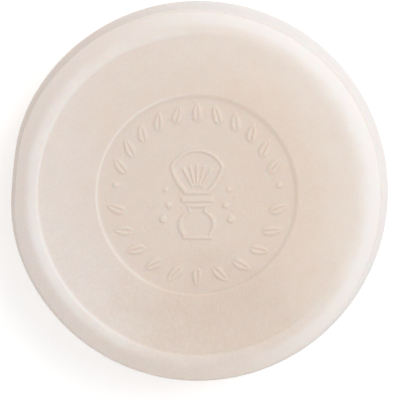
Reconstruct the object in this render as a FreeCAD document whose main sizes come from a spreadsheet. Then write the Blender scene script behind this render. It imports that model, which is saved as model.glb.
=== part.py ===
"""A pressed puck of shaving soap, as one parametric solid in millimetres.

The puck lies flat: the origin is the middle of its resting face, +Z points out of the stamped
face, and +Y points to the top of the stamped picture. From the middle outwards the stamped side
is a sunk medallion, a flat face, a step up to a rounded rim, and a shoulder that ends in a crease
where the barrel-shaped side begins. In the medallion stand a shaving brush drawn in thin raised
strokes, a few bubbles, two round dots and a wreath of leaves.
"""
import FreeCAD, Part
import math
import os
import Sketcher
from FreeCAD import Vector

DIMENSIONS = (
    ("height", 21.0, "resting face to the crest of the rim"),
    ("side_radius", 31.0, "widest radius, at half height"),
    ("crease_radius", 30.0, "where the side meets each rounded edge"),
    ("upper_crease_drop", 0.95, "crest of the rim down to the upper crease"),
    ("lower_crease_height", 2.6, "resting face up to the lower crease"),
    ("base_radius", 27.4, "flat part of the resting face"),
    ("base_edge_radius", 2.9, "rounding of the lower edge"),
    ("crest_radius", 26.2, "crest of the rim"),
    ("rim_bend", 6.6, "crowning of the rim, from its step to the shoulder"),
    ("shoulder_start_radius", 28.1, "edge where the rim turns down into the shoulder"),
    ("shoulder_bend", 23.0, "rounding of the shoulder"),
    ("step_radius", 26.1, "top of the step from the face to the rim"),
    ("face_radius", 25.75, "flat face, inside the step"),
    ("face_drop", 0.34, "crest of the rim down to the face"),
    ("medallion_radius", 16.05, "sunk medallion"),
    ("medallion_depth", 0.26, "face down to the medallion's floor"),
    ("relief_rise", 0.2, "medallion's floor up to the top of the relief"),
    ("wreath_radius", 13.35, "middle of the leaves and dots"),
    ("leaf_foot", -1.45, "foot of a leaf, from its middle"),
    ("leaf_tip", 1.5, "tip of a leaf, from its middle"),
    ("leaf_belly", -0.35, "where a leaf is widest"),
    ("leaf_half_width", 0.74, "half of a leaf at its widest"),
    ("leaf_foot_bend", 1.0, "rounding of a leaf below its widest"),
    ("leaf_tip_bend", 2.6, "rounding of a leaf above its widest"),
    ("vein_foot", 0.14, "half the groove along a leaf, at its foot"),
    ("vein_tip", 0.03, "half the groove along a leaf, at its tip"),
    ("leaf_lean", 30.0, "degrees from the radial direction"),
    ("dot_radius", 0.42, "round dot that parts the upper and lower leaves"),
    ("dot_angle", 7.0, "degrees of the dots above the X axis"),
    ("leaves_per_branch", 5.0, "leaning leaves from a dot to the upright leaf"),
    ("stroke", 0.55, "width of the lines of the brush"),
    ("tuft_foot_half_width", 2.0, "bristles where they leave the collar"),
    ("tuft_half_width", 4.4, "bristles at their widest"),
    ("tuft_foot", 0.15, "height of the tuft's foot above the medallion's middle"),
    ("tuft_shoulder", 4.5, "height where the dome of the tuft starts"),
    ("tuft_dome_radius", 4.75, "dome of the tuft"),
    ("tuft_side_radius", 9.0, "side of the tuft"),
    ("bristle_foot", 1.5, "height where the drawn bristles start"),
    ("bristle_length", 3.4, "drawn bristle"),
    ("bristle_fan", 14.0, "degrees between drawn bristles"),
    ("bristle_width", 0.36, "drawn bristle"),
    ("collar_half_width", 2.6, "collar between tuft and handle"),
    ("collar_top", -0.2, "collar's upper edge"),
    ("collar_bottom", -1.1, "collar's lower edge"),
    ("neck_top", -1.45, "handle's upper edge"),
    ("neck_top_half_width", 1.9, "handle under the collar"),
    ("neck_waist", -2.7, "height of the handle's waist"),
    ("neck_waist_half_width", 1.45, "handle at its waist"),
    ("neck_radius", 1.6, "hollow of the neck"),
    ("bulb_foot", -6.5, "height where the bulb of the handle ends"),
    ("bulb_foot_half_width", 2.4, "handle at the foot of its bulb"),
    ("bulb_radius", 2.25, "bulb of the handle"),
    ("handle_bottom", -7.1, "foot of the handle"),
    ("bubble_small", 0.34, "radius of the smallest bubble"),
    ("bubble_growth", 0.12, "added to each further bubble's radius"),
)
BUBBLES = ((5.1, 0.9), (4.6, -1.6), (5.5, -3.9))  # middles of the bubbles beside the handle
FACE_LEVEL = "size.height - size.face_drop"
MEDALLION_FLOOR = f"{FACE_LEVEL} - size.medallion_depth"

doc = FreeCAD.newDocument("shaving_soap_puck")


def make_sheet():
    """The spreadsheet of driving dimensions, one row each."""
    sheet = doc.addObject("Spreadsheet::Sheet", "size")
    for row, (alias, number, meaning) in enumerate(DIMENSIONS, start=1):
        sheet.set(f"A{row}", alias)
        sheet.set(f"B{row}", str(number))
        sheet.set(f"C{row}", meaning)
        sheet.setAlias(f"B{row}", alias)
    doc.recompute()
    return sheet


sheet = make_sheet()


def value(expression):
    """The number that an expression on the sheet's cells gives now."""
    result = sheet.evalExpression(expression)
    return float(getattr(result, "Value", result))


def origin_feature(body, role):
    """The body's own origin plane or axis with this role."""
    return next(f for f in body.Origin.OriginFeatures if f.Role == role)


def new_sketch(body, name, plane="XY_Plane", level=None):
    """A sketch on one of the body's origin planes, raised to level along the plane's normal."""
    sketch = body.newObject("Sketcher::SketchObject", name)
    sketch.AttachmentSupport = [(origin_feature(body, plane), "")]
    sketch.MapMode = "FlatFace"
    if level:
        sketch.setExpression("AttachmentOffset.Base.z", level)
    return sketch


def place_point(sketch, geometry, point, x, y):
    """Holds a point of the sketch at x and y, both expressions."""
    for kind, expression in (("DistanceX", x), ("DistanceY", y)):
        constraint = Sketcher.Constraint(kind, -1, 1, geometry, point, value(expression))
        index = sketch.addConstraint(constraint)
        sketch.setExpression(f"Constraints[{index}]", expression)


def set_radius(sketch, geometry, expression):
    """Holds the radius of an arc or circle at an expression."""
    index = sketch.addConstraint(Sketcher.Constraint("Radius", geometry, value(expression)))
    sketch.setExpression(f"Constraints[{index}]", expression)


def minor_arc(start, end, radius):
    """The shorter arc that turns left from start to end."""
    chord = end - start
    to_middle = chord * 0.5
    height = math.sqrt(radius ** 2 - to_middle.Length ** 2)
    left = Vector(-chord.y, chord.x, 0).normalize()
    centre = start + to_middle + left * height
    from_angle = math.atan2(start.y - centre.y, start.x - centre.x)
    to_angle = math.atan2(end.y - centre.y, end.x - centre.x)
    circle = Part.Circle(centre, Vector(0, 0, 1), radius)
    return Part.ArcOfCircle(circle, from_angle, to_angle)


def draw_outline(sketch, corners):
    """Closes an outline, drawn counter-clockwise through corners.

    A corner is (x, y, bend), where bend shapes the run to the next corner: None for a straight
    run, ("out", radius) for an arc that bulges outwards, ("in", radius) for a hollow one.
    """
    points = [Vector(value(x), value(y), 0) for x, y, bend in corners]
    runs = []
    for k, (x, y, bend) in enumerate(corners):
        start = points[k]
        end = points[(k + 1) % len(points)]
        if bend is None:
            geometry = sketch.addGeometry(Part.LineSegment(start, end))
            runs.append((geometry, 1, 2))
        elif bend[0] == "out":
            geometry = sketch.addGeometry(minor_arc(start, end, value(bend[1])))
            runs.append((geometry, 1, 2))
        else:
            geometry = sketch.addGeometry(minor_arc(end, start, value(bend[1])))
            runs.append((geometry, 2, 1))
    for k, (x, y, bend) in enumerate(corners):
        geometry, first, last = runs[k]
        previous, _, previous_last = runs[k - 1]
        sketch.addConstraint(Sketcher.Constraint("Coincident", previous, previous_last, geometry, first))
        place_point(sketch, geometry, first, x, y)
        if bend:
            set_radius(sketch, geometry, bend[1])


def draw_circle(sketch, x, y, radius):
    """A circle, all three expressions."""
    circle = Part.Circle(Vector(value(x), value(y), 0), Vector(0, 0, 1), value(radius))
    geometry = sketch.addGeometry(circle)
    place_point(sketch, geometry, 3, x, y)
    set_radius(sketch, geometry, radius)


def rim_level(radius):
    """The height of the crowned rim at a radius."""
    return f"size.height - size.rim_bend + sqrt(size.rim_bend ^ 2 - ({radius} - size.crest_radius) ^ 2)"


def press_body(body):
    """Turns the puck's section about the Z axis."""
    section = new_sketch(body, "puck_section", "XZ_Plane")
    half_side = "(size.height - size.upper_crease_drop - size.lower_crease_height) / 2"
    bulge = "size.side_radius - size.crease_radius"
    side_arc = f"(({half_side}) ^ 2 + ({bulge}) ^ 2) / (2 * ({bulge}))"
    draw_outline(section, (
        ("0", "0", None),
        ("size.base_radius", "0", ("out", "size.base_edge_radius")),
        ("size.crease_radius", "size.lower_crease_height", ("out", side_arc)),
        ("size.crease_radius", "size.height - size.upper_crease_drop", ("out", "size.shoulder_bend")),
        ("size.shoulder_start_radius", rim_level("size.shoulder_start_radius"), ("out", "size.rim_bend")),
        ("size.step_radius", rim_level("size.step_radius"), None),
        ("size.face_radius", FACE_LEVEL, None),
        ("0", FACE_LEVEL, None),
    ))
    turned = body.newObject("PartDesign::Revolution", "pressed_soap")
    turned.Profile = section
    turned.ReferenceAxis = (section, ["V_Axis"])
    turned.Angle = 360
    doc.recompute()


def sink_medallion(body):
    """Cuts the round medallion into the face."""
    ring = new_sketch(body, "medallion_outline", level=FACE_LEVEL)
    draw_circle(ring, "0", "0", "size.medallion_radius")
    pocket = body.newObject("PartDesign::Pocket", "medallion")
    pocket.Profile = ring
    pocket.setExpression("Length", "size.medallion_depth")
    before = body.Shape.Volume
    doc.recompute()
    cut = before - body.Shape.Volume
    expected = math.pi * value("size.medallion_radius") ** 2 * value("size.medallion_depth")
    if not math.isclose(cut, expected, rel_tol=1e-3):
        raise RuntimeError(f"the medallion cut {cut:.1f} mm3 and not {expected:.1f}")


def raise_relief(body, sketch, name):
    """Raises a sketch on the medallion's floor to the height of the relief."""
    pad = body.newObject("PartDesign::Pad", name)
    pad.Profile = sketch
    pad.setExpression("Length", "size.relief_rise")
    doc.recompute()
    return pad


def draw_leaf(body, name, angle, lean):
    """A sketch of one leaf at angle round the medallion: two halves with the vein's gap between."""
    leaf = new_sketch(body, name, level=MEDALLION_FLOOR)
    leaf.setExpression("AttachmentOffset.Base.x", f"size.wreath_radius * cos({angle})")
    leaf.setExpression("AttachmentOffset.Base.y", f"size.wreath_radius * sin({angle})")
    leaf.setExpression("AttachmentOffset.Rotation.Angle", f"{angle} + {lean} - 90")
    foot, belly, tip = "size.leaf_foot", "size.leaf_belly", "size.leaf_tip"
    foot_bend, tip_bend = ("out", "size.leaf_foot_bend"), ("out", "size.leaf_tip_bend")
    draw_outline(leaf, (
        ("size.vein_foot", foot, foot_bend),
        ("size.leaf_half_width", belly, tip_bend),
        ("size.vein_tip", tip, None),
    ))
    draw_outline(leaf, (
        ("-size.vein_tip", tip, tip_bend),
        ("-size.leaf_half_width", belly, foot_bend),
        ("-size.vein_foot", foot, None),
    ))
    return leaf


def grow_branch(body, name, dot_angle, turn, lean, span):
    """A row of leaning leaves that starts at a dot and ends before the upright leaf.

    turn and lean are 1 where the row runs and its leaves lean counter-clockwise, otherwise -1.
    """
    pitch = f"{span} / (size.leaves_per_branch + 1)"
    first_angle = f"({dot_angle} + {turn} * ({pitch}))"
    leaf = draw_leaf(body, f"leaf_{name}", first_angle, f"{lean} * size.leaf_lean")
    pad = raise_relief(body, leaf, f"leaf_{name}_pad")
    row = body.newObject("PartDesign::PolarPattern", f"branch_{name}")
    row.Originals = [pad]
    row.Axis = (origin_feature(body, "Z_Axis"), [""])
    row.Mode = "Spacing"
    row.Reversed = turn < 0
    row.setExpression("Offset", pitch)
    row.setExpression("Occurrences", "size.leaves_per_branch")
    body.Tip = row
    doc.recompute()


def grow_wreath(body):
    """Four branches of leaves, an upright leaf above and below, and a dot on each side."""
    upper_span = "(90 - size.dot_angle)"
    lower_span = "(90 + size.dot_angle)"
    right, left = "size.dot_angle", "(180 - size.dot_angle)"
    grow_branch(body, "right_upper", right, 1, 1, upper_span)
    grow_branch(body, "left_upper", left, -1, -1, upper_span)
    grow_branch(body, "right_lower", right, -1, 1, lower_span)
    grow_branch(body, "left_lower", left, 1, -1, lower_span)
    for name, angle in (("top", "90"), ("bottom", "270")):
        leaf = draw_leaf(body, f"leaf_{name}", angle, "0")
        raise_relief(body, leaf, f"leaf_{name}_pad")
    dots = new_sketch(body, "dots", level=MEDALLION_FLOOR)
    for side in ("", "-"):
        x = f"{side}size.wreath_radius * cos(size.dot_angle)"
        draw_circle(dots, x, "size.wreath_radius * sin(size.dot_angle)", "size.dot_radius")
    raise_relief(body, dots, "dots_pad")


def mirrored(corners):
    """The counter-clockwise right half of an outline, with its mirror image added."""
    left = [("-(" + x + ")", y) for x, y, bend in reversed(corners)]
    bends = [bend for x, y, bend in reversed(corners[:-1])] + [None]
    return tuple(corners) + tuple((x, y, bend) for (x, y), bend in zip(left, bends))


def tuft_outline(inset):
    """The bristles' outline, drawn inwards by inset."""
    side = ("out", "size.tuft_side_radius")
    dome = ("out", f"size.tuft_dome_radius - {inset}")
    return mirrored((
        (f"size.tuft_foot_half_width - {inset}", f"size.tuft_foot + {inset}", side),
        (f"size.tuft_half_width - {inset}", "size.tuft_shoulder", dome),
    ))


def handle_outline(inset):
    """The handle's outline, drawn inwards by inset."""
    bulb = ("out", "size.bulb_radius")
    neck = ("in", f"size.neck_radius + {inset}")
    return mirrored((
        (f"size.bulb_foot_half_width - {inset}", f"size.handle_bottom + {inset}", None),
        (f"size.bulb_foot_half_width - {inset}", f"size.bulb_foot + {inset} / 2", bulb),
        (f"size.neck_waist_half_width - {inset}", "size.neck_waist", neck),
        (f"size.neck_top_half_width - {inset}", f"size.neck_top - {inset}", None),
    ))


def draw_brush(body):
    """The shaving brush: tuft and handle in outline, and a solid collar."""
    brush = new_sketch(body, "brush", level=MEDALLION_FLOOR)
    for outline in (tuft_outline, handle_outline):
        draw_outline(brush, outline("0"))
        draw_outline(brush, outline("size.stroke"))
    draw_outline(brush, mirrored((
        ("size.collar_half_width", "size.collar_bottom", None),
        ("size.collar_half_width", "size.collar_top", None),
    )))
    raise_relief(body, brush, "brush_pad")


def draw_bristles(body):
    """Five drawn bristles that spread from the collar."""
    bristles = new_sketch(body, "bristles", level=MEDALLION_FLOOR)
    for turn in (-2, -1, 0, 1, 2):
        angle = f"(90 + {turn} * size.bristle_fan)"
        corners = []
        for along, across in ((0, 1), (1, 1), (1, -1), (0, -1)):
            reach = f"(size.bristle_foot + {along} * size.bristle_length)"
            x = f"{reach} * cos({angle}) + {across} * size.bristle_width / 2 * sin({angle})"
            y = f"{reach} * sin({angle}) - {across} * size.bristle_width / 2 * cos({angle})"
            corners.append((x, y, None))
        draw_outline(bristles, corners)
    raise_relief(body, bristles, "bristles_pad")


def draw_bubbles(body):
    """Round bubbles on both sides of the handle, each larger than the last."""
    bubbles = new_sketch(body, "bubbles", level=MEDALLION_FLOOR)
    for count, (x, y) in enumerate(BUBBLES):
        radius = f"size.bubble_small + {count} * size.bubble_growth"
        for side in (1, -1):
            draw_circle(bubbles, str(side * x), str(y), radius)
    raise_relief(body, bubbles, "bubbles_pad")


def make_puck():
    """The whole puck as one body."""
    body = doc.addObject("PartDesign::Body", "soap_puck")
    body.Label = "soap_puck"
    body.Placement = FreeCAD.Placement()
    press_body(body)
    sink_medallion(body)
    grow_wreath(body)
    draw_brush(body)
    draw_bristles(body)
    draw_bubbles(body)
    return body


def check(body):
    """Stops if anything in the document failed or the body isn't one sound solid."""
    for item in doc.Objects:
        if "Invalid" in item.State or "Error" in item.State:
            raise RuntimeError(f"{item.Name} is {item.State}")
    shape = body.Shape
    if shape.isNull() or not shape.isValid() or len(shape.Solids) != 1:
        raise RuntimeError(f"{body.Label} isn't one valid solid")


puck = make_puck()
doc.recompute()
check(puck)
os.makedirs("parts", exist_ok=True)
puck.Shape.exportStep(f"parts/{puck.Label}.step")
box = puck.Shape.optimalBoundingBox()
print(f"{puck.Label}: {box.XLength:.2f} x {box.YLength:.2f} x {box.ZLength:.2f} mm,",
      f"{puck.Shape.Volume / 1000:.2f} cm3")
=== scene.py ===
"""A pressed puck of shaving soap: its looks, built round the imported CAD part, in metres.

The puck lies flat on its resting face with the stamped face up. Its shape is worked out in
drawing millimetres, in which the puck's radius is 31, and scaled to the CAD part's own size.
"""
import math

import bpy
import numpy as np
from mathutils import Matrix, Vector, noise
from mathutils.geometry import delaunay_2d_cdt


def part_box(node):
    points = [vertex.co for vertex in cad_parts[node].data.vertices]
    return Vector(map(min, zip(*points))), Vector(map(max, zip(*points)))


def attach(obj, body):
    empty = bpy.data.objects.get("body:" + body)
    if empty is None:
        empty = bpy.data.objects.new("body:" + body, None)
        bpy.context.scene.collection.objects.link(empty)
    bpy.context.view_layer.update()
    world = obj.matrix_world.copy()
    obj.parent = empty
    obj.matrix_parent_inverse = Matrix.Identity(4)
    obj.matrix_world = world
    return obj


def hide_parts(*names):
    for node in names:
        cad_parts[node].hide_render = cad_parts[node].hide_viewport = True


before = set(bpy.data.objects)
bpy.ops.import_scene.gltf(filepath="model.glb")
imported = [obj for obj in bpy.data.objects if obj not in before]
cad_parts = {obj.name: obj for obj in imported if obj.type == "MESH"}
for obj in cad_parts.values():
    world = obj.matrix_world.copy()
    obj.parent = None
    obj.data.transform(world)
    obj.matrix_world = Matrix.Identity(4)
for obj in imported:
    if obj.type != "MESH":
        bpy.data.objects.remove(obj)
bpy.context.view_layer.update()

# The driving sizes: everything else is a drawing millimetre, MM metres long.
LOW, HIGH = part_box("soap_puck")
DRAWN_RADIUS = 31.0
MM = (HIGH.x - LOW.x) / 2 / DRAWN_RADIUS
HEIGHT = (HIGH.z - LOW.z) / MM

# Section of the puck, where a bend is the radius of an arc
CREASE_RADIUS = 30.0
UPPER_CREASE = HEIGHT - 0.95
LOWER_CREASE = 2.6
BASE_RADIUS = 27.4
BASE_START = BASE_RADIUS - 1.0  # the innermost ring of the resting face
BASE_BEND = 2.9
CREST_RADIUS = 26.2
RIM_BEND = 6.6
SHOULDER_START = 28.1
SHOULDER_BEND = 23.0
STEP_RADIUS = 26.1
FACE_RADIUS = 25.75
FACE_LEVEL = HEIGHT - 0.34
FACE_EDGE = FACE_RADIUS - 1.0  # the step's wear stays outside this radius, and the full unevenness inside
SOFTNESS = 0.1  # how far the die's corners are rounded

# Wear and handling, with angles in degrees round the puck
CRISP_ANGLE = 205.0  # where the step is crispest; opposite this it has worn to a roll
CRISP_GAIN = 0.75  # how quickly it changes from worn to crisp on the way round
ROLL_START = 26.0  # radius where the roll starts
ROLL_SINK = 0.3  # how much lower the crease is at the roll
GROOVE_ANGLE = 35.0  # the middle of a fine groove inside the upper crease
GROOVE_SPAN = (-0.2, 0.7)  # where the groove fades in, as cosines from its middle
GROOVE_RADIUS = 29.75
GROOVE_DEPTH = 0.12
GROOVE_WIDTH = 0.2
GROOVE_REACH = 0.8  # how far below the crease the groove dies out
FLAT_ANGLE = 175.0  # the middle of a place where the side was pushed in a little
FLAT_DEPTH = 0.6
FLAT_WIDTH = 13.0  # degrees
FLAT_START = 24.0  # radius where the push begins
UNEVENNESS = ((0.05, 6.0), (0.015, 1.8))  # height and wavelength of the face's slow waves

# Medallion
MEDALLION_RADIUS = 16.05
MEDALLION_DEPTH = 0.26
DISC_RADIUS = 16.9  # the medallion and its wall are meshed inside this circle
WALL_WIDTH = 0.7
WALL_ANGLE = 60.0  # where the wall is gentlest
WALL_SPREAD = 0.55  # how much wider it is there, as a share
RELIEF_RISE = 0.2
RELIEF_WALL = 0.44  # width of the relief's sloping sides
PIT_CLUSTERS = (  # count, reach and middle
    (26, 3.6, (7.2, -1.0)),
    (16, 3.4, (-6.0, -3.4)),
    (14, 3.0, (0.5, -9.6)),
    (12, 15.0, (0.0, 0.0)),
)
PIT_RADII = (0.09, 0.2)
PIT_DEPTH = 0.3  # as a share of its radius
PIT_EDGES = (0.2, 1.2)  # where its slope starts and ends, as shares of its radius

# Wreath: a point is (half width, height) in the motif's own drawing
WREATH_RADIUS = 13.35
LEAVES_PER_BRANCH = 5
LEAF_LEAN = 30.0
LEAF_FOOT = (0.14, -1.45)
LEAF_BELLY = (0.74, -0.35)
LEAF_TIP = (0.03, 1.5)
LEAF_FOOT_BEND = 1.0
LEAF_TIP_BEND = 2.6
DOT_RADIUS = 0.42
DOT_ANGLE = 7.0

# Brush: a point is (half width, height) from the medallion's middle
STROKE = 0.55
TUFT_FOOT = (2.0, 0.15)
TUFT_SIDE_BEND = 9.0
TUFT_SHOULDER = (4.4, 4.5)
TUFT_DOME_BEND = 4.75
BRISTLE_FOOT = 1.5
BRISTLE_TIP = 4.9
BRISTLE_HALF_WIDTH = 0.18
BRISTLE_FAN = 14
COLLAR_FOOT = (2.6, -1.1)
COLLAR_TOP = (2.6, -0.2)
NECK_TOP = (1.9, -1.45)
NECK_BEND = 1.6
WAIST = (1.45, -2.7)
BULB_BEND = 2.25
BULB_FOOT = (2.4, -6.5)
HANDLE_FOOT = (2.4, -7.1)
BUBBLES = ((5.1, 0.9), (4.6, -1.6), (5.5, -3.9))
BUBBLE_SMALL = 0.34
BUBBLE_GROWTH = 0.12

# Mesh
SEGMENTS = 320
SECTION_STEP = 0.02
OUTLINE_STEP = 0.1
FLOOR_STEP = 0.4
RELIEF_ROWS = (-0.24, -0.16, -0.08, 0.0, 0.08, 0.16, 0.24)  # beside each relief outline
WALL_ROWS = np.linspace(-0.6, 0.6, 9)  # across the medallion's wall
PIT_RINGS = (0.45, 0.9, 1.3)  # round each pit, as shares of its radius
EDGE_GAP = 0.1  # kept free inside the disc's edge
MERGE_GAP = 0.035  # points nearer than this are merged
SEED = 7

# Colours, as sRGB numbers out of 255
WARM = (231, 214, 199)
MIDDLE = (230, 215, 203)
# painted sheen: the cooler, paler tone that a cool fill light from the left gives the soap
COOL_SHEEN = (231, 218, 209)
PALE = (245, 240, 237)
# a darker brown, for a place low on the face and for the medallion
DARKER_BROWN = (219, 200, 184)
# painted shade for the side below the crease: grey on the right and brown on the left
SIDE_SHADE_GREY = (207, 199, 196)
SIDE_SHADE_BROWN = (196, 172, 154)

# Directions over the puck, as how much of +X and +Y they hold
DRIFT = (1, 0.15)
LEFT = (-1, 0.15)
LOWER_LEFT = (-0.64, -0.77)
BOTTOM = (0.26, -0.97)
TO_LIGHT = (0.94, 0.34)
DRY_AND_HIGHLIGHT_AXIS = (0.966, 0.259)

# The soap's tones, with painted sheen, highlights and shade among them. Sizes are in metres. A pair
# of edges says where a change starts and ends: in metres, as noise from 0 to 1, or as the cosine of
# a direction round the puck. Shares say how much of a colour is mixed in at the two edges, and
# strengths scale a share.
NOISE_SPAN = (0.2, 0.8)  # what nearly all noise lies between
CLOUD_SIZE = 14 * MM
CLOUD_SHIFTS = (-5 * MM, 5 * MM)
COOL_SHEEN_EDGES = (-21 * MM, -11 * MM)  # along DRIFT, as are the warm ones
WARM_EDGES = (-3 * MM, 15 * MM)
MOTTLE_SIZE = 2.5 * MM
MOTTLE_EDGES = (0.25, 0.75)
MOTTLE_SHARES = (0.0, 0.08)
SPECK_SIZE = 0.36 * MM
SPECK_EDGES = (0.42, 0.62)
SPECK_ZONE = (8 * MM, 23 * MM)  # along LOWER_LEFT
SPECK_SHARES = (0.13, 0.26)
BROWN_PLACE_MIDDLE = (6 * MM, -21 * MM, 0)  # a browner place on the face
BROWN_PLACE_SCALE = (1 / (19 * MM), 1 / (12 * MM), 0)  # one over its half width and half height
BROWN_PLACE_EDGES = (0.3, 1.3)  # in half widths
BROWN_PLACE_SHARES = (0.6, 0.0)
RAGGED_SIZE = 4 * MM
RAGGED_SHIFTS = (-0.3, 0.3)  # in half widths
STREAK_SIZE = 0.36 * MM
STREAK_SQUEEZE = (1, 0.5, 1)  # stretches the noise to twice its length along Y
STREAK_EDGES = (0.38, 0.62)
STREAK_STRENGTHS = (0.55, 1.0)
MEDALLION_EDGES = (15.5 * MM, 17 * MM)
MEDALLION_SHARES = (0.12, 0.0)
PATCH_SIZE = 5 * MM
PATCH_EDGES = (0.3, 0.7)
PATCH_STRENGTHS = (0.8, 1.1)
AXIS_SHARE = 0.38  # how much paler the rim is at both ends of its axis: dried soap, and painted highlight at the end that faces the key light
BOTTOM_EDGES = (0.2, 1.0)
BOTTOM_SHARES = (0.52, 0.36)
SIDE_HIGHLIGHT_EDGES = (-22 * MM, 26 * MM)  # along TO_LIGHT: painted highlight, paler where the side faces the key light
SIDE_HIGHLIGHT_SHARES = (0.17, 0.93)
RIM_TO_SIDE = (27 * MM, 28.4 * MM)
ROLL_EDGES = (-0.3, 0.6)
CRISP_EDGES = (25.7 * MM, 26.5 * MM)
CRISP_STRENGTHS = (0.0, 0.77)
SOFT_EDGES = (24.8 * MM, 28.2 * MM)
SOFT_STRENGTHS = (0.0, 0.67)
FACE_EDGES = (17 * MM, 25 * MM)
FACE_STRENGTHS = (0.18, 0.4)  # from the crisp side of the puck to the rolled one, which faces the key light and has more painted highlight
# painted highlights on the left-hand step and medallion wall, which face the key light
HIGHLIGHT_EDGES = (0.0, 0.6)
STEP_HIGHLIGHT = (25.95 * MM, 0.45 * MM, 0.6)  # radius, half width and share, as the wall's
WALL_HIGHLIGHT = (16.35 * MM, 0.3 * MM, 0.5)
SIDE_LEVELS = ((UPPER_CREASE - 0.6) * MM, UPPER_CREASE * MM)
SIDE_SHARES = (0.45, 0.0)
BROWN_TO_GREY = (-14 * MM, 20 * MM)  # along TO_LIGHT
GRAIN_SIZE = 0.35 * MM
GRAIN_HEIGHT = 0.02 * MM
ROUGHNESSES = (0.42, 0.55)

# Studio, in metres
LAMP_DISTANCE = 0.9
FLOOR_HALF = 1.2
FLOOR_LEVEL = -0.02 * MM  # just clear of the resting face
FLOOR_GRAIN = 0.02
FLOOR_TONES = ((0.86, 0.86, 0.86, 1), (0.88, 0.88, 0.88, 1))
WHITE = (1, 1, 1, 1)
WORLD_STRENGTH = 0.445
CAMERA_DISTANCE = 0.9
CAMERA_LEAN = 4.7  # degrees from upright, towards the picture's top
CAMERA_SIDE_LEAN = 1.1  # and towards its right
VIEW_WIDTH = 65.37 * MM  # what the picture spans at the puck's widest level
VIEW_MIDDLE = Vector((0.25, -1.60, 10.5)) * MM  # what the picture's middle shows
SENSOR = 36.0  # millimetres


def bent_run(start, end, bend, step):
    """Points from start towards end, which is left out.

    bend is None for a straight run and otherwise an arc's radius, positive where it bulges to the
    right of the way it runs, which is outwards on a counter-clockwise outline.
    """
    start, end = np.array(start, float), np.array(end, float)
    chord = end - start
    length = np.linalg.norm(chord)
    if bend is None:
        share = np.arange(0, 1, 1 / max(1, round(length / step)))[:, None]
        return start + share * chord
    left = np.array((-chord[1], chord[0])) / length
    centre = (start + end) / 2 + left * math.copysign(math.sqrt(bend ** 2 - (length / 2) ** 2), bend)
    sweep = 2 * math.asin(length / 2 / bend)
    count = max(2, round(abs(sweep * bend) / step))
    angles = math.atan2(*(start - centre)[::-1]) + sweep * np.arange(count) / count
    return centre + abs(bend) * np.stack((np.cos(angles), np.sin(angles)), axis=1)


def outline(corners, step=OUTLINE_STEP):
    """A closed outline through corners (x, y, bend), drawn counter-clockwise."""
    ends = [corner[:2] for corner in corners[1:] + corners[:1]]
    return np.concatenate([bent_run(c[:2], end, c[2], step) for c, end in zip(corners, ends)])


def mirrored(corners):
    """The right half of a counter-clockwise outline, with its mirror image added."""
    bends = [bend for _, _, bend in corners[-2::-1]] + [None]
    return corners + [(-x, y, bend) for (x, y, _), bend in zip(corners[::-1], bends)]


def smooth_step(low_edge, high_edge, x):
    """0 below low_edge, 1 above high_edge, and a smooth rise between."""
    t = np.clip((x - low_edge) / (high_edge - low_edge), 0, 1)
    return t * t * (3 - 2 * t)


def toward(points, angle):
    """How far each point lies towards an angle round the puck: 1 towards it, -1 away from it."""
    turn = math.radians(angle)
    reach = np.maximum(np.hypot(points[:, 0], points[:, 1]), 1e-6)
    return (points[:, 0] * math.cos(turn) + points[:, 1] * math.sin(turn)) / reach


def around():
    """The directions of the mesh's segments round the puck."""
    angles = np.arange(SEGMENTS) * 2 * math.pi / SEGMENTS
    return np.stack((np.cos(angles), np.sin(angles)), axis=1)


def rim_level(radius):
    """The height of the crowned rim at a radius."""
    return HEIGHT - RIM_BEND + math.sqrt(RIM_BEND ** 2 - (radius - CREST_RADIUS) ** 2)


def soft_section():
    """The puck's section as (radius, level) points, from the resting face to the disc's edge.

    Its corners are softened, and it has enough points for the groove, which ease_step cuts.
    """
    half_side = (UPPER_CREASE - LOWER_CREASE) / 2
    bulge = DRAWN_RADIUS - CREASE_RADIUS
    side_bend = (half_side ** 2 + bulge ** 2) / (2 * bulge)
    corners = (
        (BASE_START, 0, None),
        (BASE_RADIUS, 0, BASE_BEND),
        (CREASE_RADIUS, LOWER_CREASE, side_bend),
        (CREASE_RADIUS, UPPER_CREASE, SHOULDER_BEND),
        (SHOULDER_START, rim_level(SHOULDER_START), RIM_BEND),
        (STEP_RADIUS, rim_level(STEP_RADIUS), None),
        (FACE_RADIUS, FACE_LEVEL, None),
        (DISC_RADIUS, FACE_LEVEL, None),
    )
    runs = [bent_run(a[:2], b[:2], a[2], SECTION_STEP) for a, b in zip(corners, corners[1:])]
    points = np.concatenate(runs + [np.array([corners[-1][:2]])])
    reach = int(3 * SOFTNESS / SECTION_STEP)
    weights = np.exp(-0.5 * (np.arange(-reach, reach + 1) * SECTION_STEP / SOFTNESS) ** 2)
    weights /= weights.sum()
    padded = np.pad(points, ((reach, reach), (0, 0)), mode="reflect", reflect_type="odd")
    soft = np.stack([np.convolve(padded[:, k], weights, mode="valid") for k in (0, 1)], axis=1)
    grooved = soft.copy()
    grooved[:, 1] -= groove(soft[:, 0], soft[:, 1])
    return soft[kept_points(grooved)]


def groove(reach, level):
    """The depth of the groove beside the upper crease."""
    shape = np.exp(-((reach - GROOVE_RADIUS) / GROOVE_WIDTH) ** 2)
    return GROOVE_DEPTH * shape * smooth_step(UPPER_CREASE - GROOVE_REACH, UPPER_CREASE, level)


def kept_points(points, turn_limit=math.radians(4), run_limit=0.7):
    """The places along a section where it has turned or run far enough since the last one kept."""
    steps = np.diff(points, axis=0)
    lengths = np.linalg.norm(steps, axis=1)
    heading = np.unwrap(np.arctan2(steps[:, 1], steps[:, 0]))
    kept = [0]
    turned = run = 0.0
    for k in range(1, len(steps)):
        turned += abs(heading[k] - heading[k - 1])
        run += lengths[k - 1]
        if turned > turn_limit or run > run_limit:
            kept.append(k)
            turned = run = 0.0
    return kept + [len(points) - 1]


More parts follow.
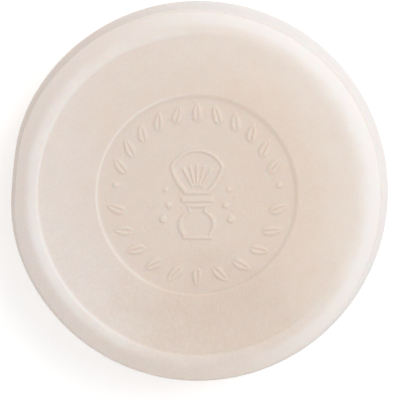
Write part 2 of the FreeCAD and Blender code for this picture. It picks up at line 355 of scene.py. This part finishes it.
def placed(points, angle, radius, lean):
    """Moves a motif's own points, whose +Y is its top, to angle and radius round the medallion."""
    turn = math.radians(angle + lean - 90)
    matrix = np.array(((math.cos(turn), -math.sin(turn)), (math.sin(turn), math.cos(turn))))
    middle = radius * np.array((math.cos(math.radians(angle)), math.sin(math.radians(angle))))
    return points @ matrix.T + middle


def leaf():
    """The two halves of one leaf, with the vein's gap between them."""
    right = outline([(*LEAF_FOOT, LEAF_FOOT_BEND), (*LEAF_BELLY, LEAF_TIP_BEND), (*LEAF_TIP, None)])
    return [right, right * (-1, 1)]


def wreath():
    """All the leaves: four branches that grow up both sides, and an upright leaf above and below."""
    loops = []
    for side in (1, -1):
        for upper in (1, -1):
            pitch = (90 - upper * DOT_ANGLE) / (LEAVES_PER_BRANCH + 1)
            for count in range(1, LEAVES_PER_BRANCH + 1):
                from_side = DOT_ANGLE + upper * count * pitch
                angle = from_side if side > 0 else 180 - from_side
                loops += [placed(half, angle, WREATH_RADIUS, side * LEAF_LEAN) for half in leaf()]
    for angle in (90, 270):
        loops += [placed(half, angle, WREATH_RADIUS, 0) for half in leaf()]
    return loops


def circle(x, y, radius):
    """A round outline."""
    count = max(12, round(2 * math.pi * radius / OUTLINE_STEP))
    angles = np.arange(count) * 2 * math.pi / count
    return np.stack((x + radius * np.cos(angles), y + radius * np.sin(angles)), axis=1)


def tuft(inset):
    """The bristles' outline, drawn inwards by inset."""
    return outline(mirrored([
        (TUFT_FOOT[0] - inset, TUFT_FOOT[1] + inset, TUFT_SIDE_BEND),
        (TUFT_SHOULDER[0] - inset, TUFT_SHOULDER[1], TUFT_DOME_BEND - inset),
    ]))


def handle(inset):
    """The handle's outline, drawn inwards by inset."""
    return outline(mirrored([
        (HANDLE_FOOT[0] - inset, HANDLE_FOOT[1] + inset, None),
        (BULB_FOOT[0] - inset, BULB_FOOT[1] + inset / 2, BULB_BEND),
        (WAIST[0] - inset, WAIST[1], -NECK_BEND - inset),
        (NECK_TOP[0] - inset, NECK_TOP[1] - inset, None),
    ]))


def collar():
    """The solid collar between the tuft and the handle."""
    return outline(mirrored([(*COLLAR_FOOT, None), (*COLLAR_TOP, None)]))


def bristle(turn):
    """One drawn bristle, turned from upright."""
    ends = ((-1, BRISTLE_FOOT), (1, BRISTLE_FOOT), (1, BRISTLE_TIP), (-1, BRISTLE_TIP))
    corners = [(side * BRISTLE_HALF_WIDTH, y, None) for side, y in ends]
    return placed(outline(corners), 90 + turn, 0, 0)


def brush():
    """The shaving brush, its bubbles and the two dots of the wreath."""
    loops = [tuft(0), tuft(STROKE), handle(0), handle(STROKE), collar()]
    loops += [bristle(count * BRISTLE_FAN) for count in (-2, -1, 0, 1, 2)]
    for count, (x, y) in enumerate(BUBBLES):
        radius = BUBBLE_SMALL + BUBBLE_GROWTH * count
        loops += [circle(side * x, y, radius) for side in (1, -1)]
    for angle in (DOT_ANGLE, 180 - DOT_ANGLE):
        loops += [placed(circle(0, 0, DOT_RADIUS), angle, WREATH_RADIUS, 0)]
    return loops


def depth_inside(points, loops, limit=1.0):
    """How far each point is inside the loops, by the even-odd rule, and negative outside.

    It is never more than limit either way.
    """
    nearest = np.full(len(points), limit)
    inside = np.zeros(len(points), bool)
    for loop in loops:
        near = np.all((points > loop.min(0) - limit) & (points < loop.max(0) + limit), axis=1)
        p = points[near][:, None, :]
        a = loop[None]
        b = np.roll(loop, -1, axis=0)[None]
        along = b - a
        share = np.clip(((p - a) * along).sum(2) / (along ** 2).sum(2), 0, 1)
        gap = np.linalg.norm(p - a - share[..., None] * along, axis=2).min(axis=1)
        nearest[near] = np.minimum(nearest[near], gap)
        crosses = (a[..., 1] > p[..., 1]) != (b[..., 1] > p[..., 1])
        with np.errstate(divide="ignore", invalid="ignore"):
            at = a[..., 0] + (p[..., 1] - a[..., 1]) / along[..., 1] * along[..., 0]
        inside[near] ^= (crosses & (p[..., 0] < at)).sum(axis=1) % 2 == 1
    return np.where(inside, nearest, -nearest)


def rows_beside(loop):
    """Copies of an outline moved a little in and out, where the relief's walls need mesh."""
    along = np.roll(loop, -1, axis=0) - np.roll(loop, 1, axis=0)
    sideways = np.stack((along[:, 1], -along[:, 0]), axis=1)
    sideways /= np.linalg.norm(sideways, axis=1)[:, None]
    return [loop + sideways * offset for offset in RELIEF_ROWS]


def scattered(count, reach, random):
    """Points spread evenly over a disc."""
    angles = random.uniform(0, 2 * math.pi, count)
    radii = reach * np.sqrt(random.uniform(0, 1, count))
    return np.stack((radii * np.cos(angles), radii * np.sin(angles)), axis=1)


def make_pits(random):
    """Small pits in the medallion's floor: (x, y, radius), mostly beside and below the brush."""
    clusters = [scattered(count, reach, random) + middle for count, reach, middle in PIT_CLUSTERS]
    middles = np.concatenate(clusters)
    return np.column_stack((middles, random.uniform(*PIT_RADII, len(middles))))


def floor_points(loops):
    """A grid of points over the medallion's floor and the relief's tops, clear of all outlines."""
    count = int(MEDALLION_RADIUS / FLOOR_STEP) + 2
    grid = np.arange(-count, count + 1) * FLOOR_STEP
    x, y = (axis.ravel() for axis in np.meshgrid(grid, grid * math.sqrt(3) / 2))
    shifted = np.repeat(np.arange(len(grid)) % 2 * FLOOR_STEP / 2, len(grid))
    floor = np.stack((x + shifted, y), axis=1)
    floor = floor[np.linalg.norm(floor, axis=1) < MEDALLION_RADIUS - WALL_WIDTH]
    return floor[np.abs(depth_inside(floor, loops)) > RELIEF_ROWS[-1] + FLOOR_STEP / 4]


def medallion_points(loops, pits):
    """The points that mesh the disc: its edge, the wall, rows along every outline, pits and floor."""
    edge = DISC_RADIUS * around()
    wall = [around() * (MEDALLION_RADIUS + offset) for offset in WALL_ROWS]
    rows = [row for loop in loops for row in rows_beside(loop)]
    holes = [circle(x, y, radius * share) for x, y, radius in pits for share in PIT_RINGS]
    inner = np.concatenate(wall + rows + holes + [floor_points(loops)])
    inner = inner[np.linalg.norm(inner, axis=1) < DISC_RADIUS - EDGE_GAP]
    _, first = np.unique(np.round(inner / MERGE_GAP).astype(int), axis=0, return_index=True)
    return np.concatenate((edge, inner[np.sort(first)]))


def medallion_levels(points, loops, pits):
    """The height of each point of the disc."""
    reach = np.linalg.norm(points, axis=1)
    half_wall = WALL_WIDTH / 2 * (1 + WALL_SPREAD * toward(points, WALL_ANGLE))
    wall = smooth_step(-half_wall, half_wall, MEDALLION_RADIUS - reach)
    raised = smooth_step(-RELIEF_WALL / 2, RELIEF_WALL / 2, depth_inside(points, loops))
    levels = FACE_LEVEL - MEDALLION_DEPTH * wall + RELIEF_RISE * raised
    for x, y, radius in pits:
        gap = np.hypot(points[:, 0] - x, points[:, 1] - y)
        levels -= PIT_DEPTH * radius * (1 - smooth_step(*PIT_EDGES, gap / radius))
    return levels


def ease_step(vertices):
    """Wears the step and rim to a soft roll, and cuts the groove, both towards the upper right."""
    reach = np.hypot(vertices[:, 0], vertices[:, 1])
    level = vertices[:, 2]
    crisp = np.clip(0.5 + CRISP_GAIN * toward(vertices, CRISP_ANGLE), 0, 1)
    share = np.clip((reach - ROLL_START) / (CREASE_RADIUS - ROLL_START), 0, 1)
    rolled = FACE_LEVEL - (FACE_LEVEL - UPPER_CREASE + ROLL_SINK) * share ** 2
    sunk = level - ROLL_SINK * smooth_step(HEIGHT / 2, UPPER_CREASE, level)
    eased = crisp * level + (1 - crisp) * np.where(level > UPPER_CREASE, rolled, sunk)
    depth = groove(reach, level) * smooth_step(*GROOVE_SPAN, toward(vertices, GROOVE_ANGLE))
    vertices[:, 2] = np.where(reach > FACE_EDGE, eased, level) - depth


def push_side(vertices):
    """Pushes the side in where it has a flat place."""
    reach = np.hypot(vertices[:, 0], vertices[:, 1])
    gap = np.degrees(np.arccos(np.clip(toward(vertices, FLAT_ANGLE), -1, 1)))
    outer = smooth_step(FLAT_START, CREASE_RADIUS, reach)
    depth = FLAT_DEPTH * np.exp(-(gap / FLAT_WIDTH) ** 2) * outer
    vertices[:, :2] *= (1 - depth / np.maximum(reach, 1))[:, None]


def uneven(points, height, wavelength):
    """A slow unevenness of the pressed surface, at most about height."""
    return np.array([height * noise.noise(Vector(p) / wavelength) for p in points])


def lift(vertices):
    """The unevenness of the stamped face, which dies out before the crest and on the side."""
    reach = np.hypot(vertices[:, 0], vertices[:, 1])
    free = (1 - smooth_step(FACE_EDGE, CREST_RADIUS, reach)) * (vertices[:, 2] > HEIGHT / 2)
    return free * sum(uneven(vertices, *wave) for wave in UNEVENNESS)


def ring_faces(ring_count):
    """The four-sided faces between the rings, which run from the resting face to the disc."""
    faces = []
    for low_ring in range(0, (ring_count - 1) * SEGMENTS, SEGMENTS):
        high_ring = low_ring + SEGMENTS
        for k in range(SEGMENTS):
            after = (k + 1) % SEGMENTS
            faces.append((low_ring + k, low_ring + after, high_ring + after, high_ring + k))
    return faces


def make_puck():
    """The whole puck as one closed mesh: the base, rings up the side, and the medallion's disc."""
    random = np.random.default_rng(SEED)
    section = soft_section()
    rings = [np.column_stack((radius * around(), np.full(SEGMENTS, z))) for radius, z in section]
    body = np.concatenate(rings)
    last_ring = len(body) - SEGMENTS

    loops = wreath() + brush()
    pits = make_pits(random)
    flat = medallion_points(loops, pits)
    disc = np.column_stack((flat, medallion_levels(flat, loops, pits)))
    _, _, triangles, sources, _, _ = delaunay_2d_cdt([Vector(p) for p in flat], [], [], 0, 1e-6)
    at_disc = [last_ring + group[0] for group in sources]  # the disc starts with the body's last ring

    vertices = np.concatenate((body, disc[SEGMENTS:]))
    ease_step(vertices)
    push_side(vertices)
    vertices[:, 2] += lift(vertices)
    base_middle = len(vertices)
    vertices = np.concatenate((vertices, [(0, 0, 0)])) * MM

    faces = ring_faces(len(section))
    faces += [(base_middle, (k + 1) % SEGMENTS, k) for k in range(SEGMENTS)]
    faces += [tuple(at_disc[k] for k in triangle) for triangle in triangles]

    mesh = bpy.data.meshes.new("soap_puck_visual")
    mesh.from_pydata(vertices.tolist(), [], faces)
    mesh.shade_smooth()
    mesh.validate()
    puck = bpy.data.objects.new("pressed_soap", mesh)
    bpy.context.scene.collection.objects.link(puck)
    return puck


class Nodes:
    """Builds a material's node tree. Its place is where a point is on the object, in metres."""

    def __init__(self, name):
        self.material = bpy.data.materials.new(name)
        self.material.use_nodes = True
        self.tree = self.material.node_tree
        self.place = self.add("TexCoord").outputs["Object"]

    def add(self, kind, inputs=(), **settings):
        """A node with its settings, and inputs as {socket: value or other node's output}."""
        made = self.tree.nodes.new("ShaderNode" + kind)
        for key, setting in settings.items():
            setattr(made, key, setting)
        self.fill(made, inputs)
        return made

    def fill(self, node, inputs):
        """Links each of a node's sockets to an output, or gives it a plain value."""
        for socket, given in dict(inputs).items():
            if isinstance(given, bpy.types.NodeSocket):
                self.tree.links.new(given, node.inputs[socket])
            else:
                node.inputs[socket].default_value = given

    def shade(self, inputs):
        """Fills the shader's sockets."""
        self.fill(self.tree.nodes["Principled BSDF"], inputs)

    def math(self, operation, a, b=0.0):
        """One Math node's output."""
        return self.add("Math", {0: a, 1: b}, operation=operation).outputs[0]

    def plus(self, a, b):
        """a + b."""
        return self.math("ADD", a, b)

    def minus(self, a, b):
        """a - b."""
        return self.math("SUBTRACT", a, b)

    def times(self, a, b):
        """a * b."""
        return self.math("MULTIPLY", a, b)

    def over(self, a, b):
        """a / b."""
        return self.math("DIVIDE", a, b)

    def blend(self, share, a, b):
        """a where share is 0, and b where it is 1."""
        return self.plus(a, self.times(share, self.minus(b, a)))

    def vector(self, operation, a, b):
        """One Vector Math node's vector."""
        return self.add("VectorMath", {0: a, 1: b}, operation=operation).outputs["Vector"]

    def length(self, vector):
        """A vector's length."""
        return self.add("VectorMath", {0: vector}, operation="LENGTH").outputs["Value"]

    def along(self, direction):
        """How far a point lies along a direction over the puck, in metres."""
        inputs = {0: self.place, 1: (*direction, 0)}
        return self.add("VectorMath", inputs, operation="DOT_PRODUCT").outputs["Value"]

    def noise(self, vector, size, detail=2.0, roughness=0.5):
        """Noise from 0 to 1 whose features are size metres across."""
        made = self.add("TexNoise", {
            "Vector": vector, "Scale": 1 / size, "Detail": detail, "Roughness": roughness,
        })
        return made.outputs["Fac"]

    def between(self, value, edges, results=(0.0, 1.0)):
        """The first result below the edges, the second above them, and a smooth change between."""
        made = self.add("MapRange", {
            "Value": value, "From Min": edges[0], "From Max": edges[1],
            "To Min": results[0], "To Max": results[1],
        }, interpolation_type="SMOOTHSTEP")
        return made.outputs["Result"]

    def mix(self, share, a, b):
        """A mixed colour, by way of the Mix node's colour sockets."""
        return self.add("Mix", {0: share, 6: a, 7: b}, data_type="RGBA").outputs[2]


def colour(srgb):
    """A linear colour from sRGB numbers out of 255."""
    def linear(c):
        c /= 255
        return c / 12.92 if c <= 0.04045 else ((c + 0.055) / 1.055) ** 2.4
    return (*(linear(c) for c in srgb), 1.0)


def tone_and_left_sheen(nodes):
    """The soap's tone, which drifts from cool on the left to warm on the right: the cooler, paler left
    is painted sheen of a cool fill light from that side.
    """
    cloud = nodes.noise(nodes.place, CLOUD_SIZE, detail=3)
    drift = nodes.plus(nodes.along(DRIFT), nodes.between(cloud, NOISE_SPAN, CLOUD_SHIFTS))
    # painted sheen: the face turns cooler and paler towards the left
    body = nodes.mix(nodes.between(drift, COOL_SHEEN_EDGES), colour(COOL_SHEEN), colour(MIDDLE))
    return nodes.mix(nodes.between(drift, WARM_EDGES), body, colour(WARM))


def speckle(nodes, body):
    """Adds a faint mottle, and fine pale specks that are stronger towards the lower left."""
    mottle = nodes.noise(nodes.place, MOTTLE_SIZE, detail=4, roughness=0.6)
    body = nodes.mix(nodes.between(mottle, MOTTLE_EDGES, MOTTLE_SHARES), body, colour(PALE))
    specks = nodes.between(nodes.noise(nodes.place, SPECK_SIZE, detail=3, roughness=0.7), SPECK_EDGES)
    share = nodes.between(nodes.along(LOWER_LEFT), SPECK_ZONE, SPECK_SHARES)
    return nodes.mix(nodes.times(specks, share), body, colour(PALE))


def brown_low_place(nodes, body):
    """Adds a browner, ragged and faintly streaked place low on the face."""
    from_middle = nodes.vector("SUBTRACT", nodes.place, BROWN_PLACE_MIDDLE)
    gap = nodes.length(nodes.vector("MULTIPLY", from_middle, BROWN_PLACE_SCALE))
    rag = nodes.noise(nodes.place, RAGGED_SIZE, detail=4, roughness=0.6)
    gap = nodes.plus(gap, nodes.between(rag, NOISE_SPAN, RAGGED_SHIFTS))
    drawn_out = nodes.vector("MULTIPLY", nodes.place, STREAK_SQUEEZE)
    streaks = nodes.noise(drawn_out, STREAK_SIZE, detail=3, roughness=0.7)
    strength = nodes.between(streaks, STREAK_EDGES, STREAK_STRENGTHS)
    share = nodes.times(nodes.between(gap, BROWN_PLACE_EDGES, BROWN_PLACE_SHARES), strength)
    return nodes.mix(share, body, colour(DARKER_BROWN))


def tone_medallion(nodes, body, reach):
    """Makes the medallion a shade browner than the face."""
    return nodes.mix(nodes.between(reach, MEDALLION_EDGES, MEDALLION_SHARES), body, colour(DARKER_BROWN))


def facing(nodes, direction, reach):
    """How far a point lies towards a direction round the puck: 1 towards it, -1 away from it."""
    return nodes.over(nodes.along(direction), reach)


def dry_and_highlight_share(nodes, reach):
    """How pale the rim and the side are, by direction round the puck: dried soap, with painted highlight
    towards the key light, and less paleness towards the bottom.
    """
    patches = nodes.noise(nodes.place, PATCH_SIZE, detail=3, roughness=0.6)
    on_axis = facing(nodes, DRY_AND_HIGHLIGHT_AXIS, reach)
    at_ends = nodes.times(nodes.times(on_axis, on_axis), AXIS_SHARE)
    at_bottom = nodes.between(facing(nodes, BOTTOM, reach), BOTTOM_EDGES, BOTTOM_SHARES)
    strength = nodes.between(patches, PATCH_EDGES, PATCH_STRENGTHS)
    on_rim = nodes.times(strength, nodes.plus(at_ends, at_bottom))
    # painted highlight: the side grows paler towards the key light
    side_highlight = nodes.between(nodes.along(TO_LIGHT), SIDE_HIGHLIGHT_EDGES, SIDE_HIGHLIGHT_SHARES)
    return nodes.blend(nodes.between(reach, RIM_TO_SIDE), on_rim, side_highlight)


def dry_and_highlight(nodes, body, reach):
    """Adds the paler tone of dried soap, which grows from the face to the rim and the side, and painted
    highlight where the rim rolls and the side faces the key light.
    """
    to_light = facing(nodes, TO_LIGHT, reach)
    crisp_rim = nodes.between(reach, CRISP_EDGES, CRISP_STRENGTHS)
    soft_rim = nodes.between(reach, SOFT_EDGES, SOFT_STRENGTHS)
    rim = nodes.blend(nodes.between(to_light, ROLL_EDGES), crisp_rim, soft_rim)
    face_strength = nodes.between(to_light, ROLL_EDGES, FACE_STRENGTHS)
    # dried soap, with painted highlight that is stronger on the rolled side towards the key light
    face = nodes.times(nodes.between(reach, FACE_EDGES), face_strength)
    share = nodes.times(nodes.plus(face, rim), dry_and_highlight_share(nodes, reach))
    return nodes.mix(share, body, colour(PALE))


def ring_line(nodes, reach, radius, half_width, share):
    """A soft line round the puck at a radius."""
    gap = nodes.math("ABSOLUTE", nodes.minus(reach, radius))
    return nodes.between(gap, (0.0, half_width), (share, 0.0))


def painted_edge_highlights(nodes, body, reach):
    """Adds painted highlights: pale lines on the step and the medallion's wall on the left, where they
    face the key light.
    """
    highlights = nodes.plus(ring_line(nodes, reach, *STEP_HIGHLIGHT), ring_line(nodes, reach, *WALL_HIGHLIGHT))
    to_left = nodes.between(facing(nodes, LEFT, reach), HIGHLIGHT_EDGES)
    return nodes.mix(nodes.times(to_left, highlights), body, colour(PALE))


def shade_side(nodes, body):
    """Paints shade on the side below the crease: brown on the left, away from the key light, and a
    dimming grey on the right, which faces it.
    """
    level = nodes.add("SeparateXYZ", {0: nodes.place}).outputs["Z"]
    # painted shade: brown away from the key light, a dimming grey towards it
    rightward = nodes.between(nodes.along(TO_LIGHT), BROWN_TO_GREY)
    tone = nodes.mix(rightward, colour(SIDE_SHADE_BROWN), colour(SIDE_SHADE_GREY))
    return nodes.mix(nodes.between(level, SIDE_LEVELS, SIDE_SHARES), body, tone)


def soap_material():
    """Hard milled soap: waxy, slightly translucent, faintly mottled, paler where the rim has dried.

    Its colour also holds painted light: a cool sheen on the left, highlights towards the key light
    and on the left-hand edges, and shade on the side below the crease.
    """
    nodes = Nodes("milled_soap")
    reach = nodes.length(nodes.vector("MULTIPLY", nodes.place, (1, 1, 0)))
    body = tone_and_left_sheen(nodes)
    body = speckle(nodes, body)
    body = brown_low_place(nodes, body)
    body = tone_medallion(nodes, body, reach)
    body = dry_and_highlight(nodes, body, reach)
    body = painted_edge_highlights(nodes, body, reach)
    body = shade_side(nodes, body)
    grain = nodes.noise(nodes.place, GRAIN_SIZE, detail=3)
    bump = nodes.add("Bump", {"Height": grain, "Distance": GRAIN_HEIGHT, "Strength": 0.5})
    nodes.shade({
        "Base Color": body,
        "Roughness": nodes.between(grain, NOISE_SPAN, ROUGHNESSES),
        "Normal": bump.outputs["Normal"],
        "Subsurface Weight": 0.6,
        "Subsurface Radius": (1.0, 0.6, 0.4),
        "Subsurface Scale": 1.2 * MM,
        "IOR": 1.46,
        "Specular IOR Level": 0.3,
    })
    return nodes.material


def floor_material():
    """A plain white studio table with the faintest paper grain."""
    nodes = Nodes("studio_table")
    nodes.shade({
        "Base Color": nodes.mix(nodes.noise(nodes.place, FLOOR_GRAIN), *FLOOR_TONES),
        "Roughness": 0.9,
        "Specular IOR Level": 0.2,
        "Emission Color": WHITE,
        "Emission Strength": 0.4,
    })
    return nodes.material


def make_floor():
    """The table under the puck."""
    signs = ((-1, -1), (1, -1), (1, 1), (-1, 1))
    corners = [(x * FLOOR_HALF, y * FLOOR_HALF, FLOOR_LEVEL) for x, y in signs]
    mesh = bpy.data.meshes.new("table")
    mesh.from_pydata(corners, [], [(0, 1, 2, 3)])
    mesh.materials.append(floor_material())
    table = bpy.data.objects.new("table", mesh)
    bpy.context.scene.collection.objects.link(table)


def aim(thing, place_at, target, up=Vector((0, 1, 0))):
    """Puts a camera or light at a place, looking at target."""
    back = (Vector(place_at) - Vector(target)).normalized()
    right = up.cross(back).normalized()
    over = back.cross(right)
    matrix = thing.matrix_world.to_3x3()
    matrix.col[0], matrix.col[1], matrix.col[2] = right, over, back
    thing.matrix_world = matrix.to_4x4()
    thing.location = place_at


def softbox(name, azimuth, elevation, size, power):
    """A square soft light that shines at the puck from an azimuth and elevation in degrees."""
    light = bpy.data.lights.new(name, "AREA")
    light.shape = "SQUARE"
    light.size = size
    light.energy = power
    lamp = bpy.data.objects.new(name, light)
    lamp.visible_camera = False
    bpy.context.scene.collection.objects.link(lamp)
    turn, rise = math.radians(azimuth), math.radians(elevation)
    direction = Vector((math.cos(turn) * math.cos(rise), math.sin(turn) * math.cos(rise), math.sin(rise)))
    nearly_up = Vector((0, 0.1, 1))  # never in line with a lamp's own direction
    aim(lamp, direction * LAMP_DISTANCE, (0, 0, 0), nearly_up)


def make_lights():
    """The even light of a studio tent, with a key from the upper right and a lamp overhead."""
    softbox("overhead", azimuth=0, elevation=90, size=0.8, power=1.58)
    softbox("key", azimuth=38, elevation=56, size=0.6, power=3.66)
    world = bpy.data.worlds.new("studio")
    bpy.context.scene.world = world
    world.use_nodes = True
    background = world.node_tree.nodes["Background"]
    background.inputs["Color"].default_value = WHITE
    background.inputs["Strength"].default_value = WORLD_STRENGTH


def make_camera():
    """A long lens almost straight above the puck, a little towards the picture's top and right."""
    lean, side_lean = math.radians(CAMERA_LEAN), math.radians(CAMERA_SIDE_LEAN)
    camera_data = bpy.data.cameras.new("camera")
    camera_data.sensor_width = SENSOR
    camera_data.lens = SENSOR * CAMERA_DISTANCE / VIEW_WIDTH
    camera_data.clip_start = 0.01
    camera = bpy.data.objects.new("camera", camera_data)
    bpy.context.scene.collection.objects.link(camera)
    back = Vector((math.sin(side_lean), math.sin(lean), math.cos(lean)))
    aim(camera, VIEW_MIDDLE + back * CAMERA_DISTANCE, VIEW_MIDDLE)
    bpy.context.scene.camera = camera


puck = make_puck()
puck.data.materials.append(soap_material())
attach(puck, "root")
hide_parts("soap_puck")
make_floor()
make_lights()
make_camera()
bpy.context.scene.view_settings.view_transform = "Standard"
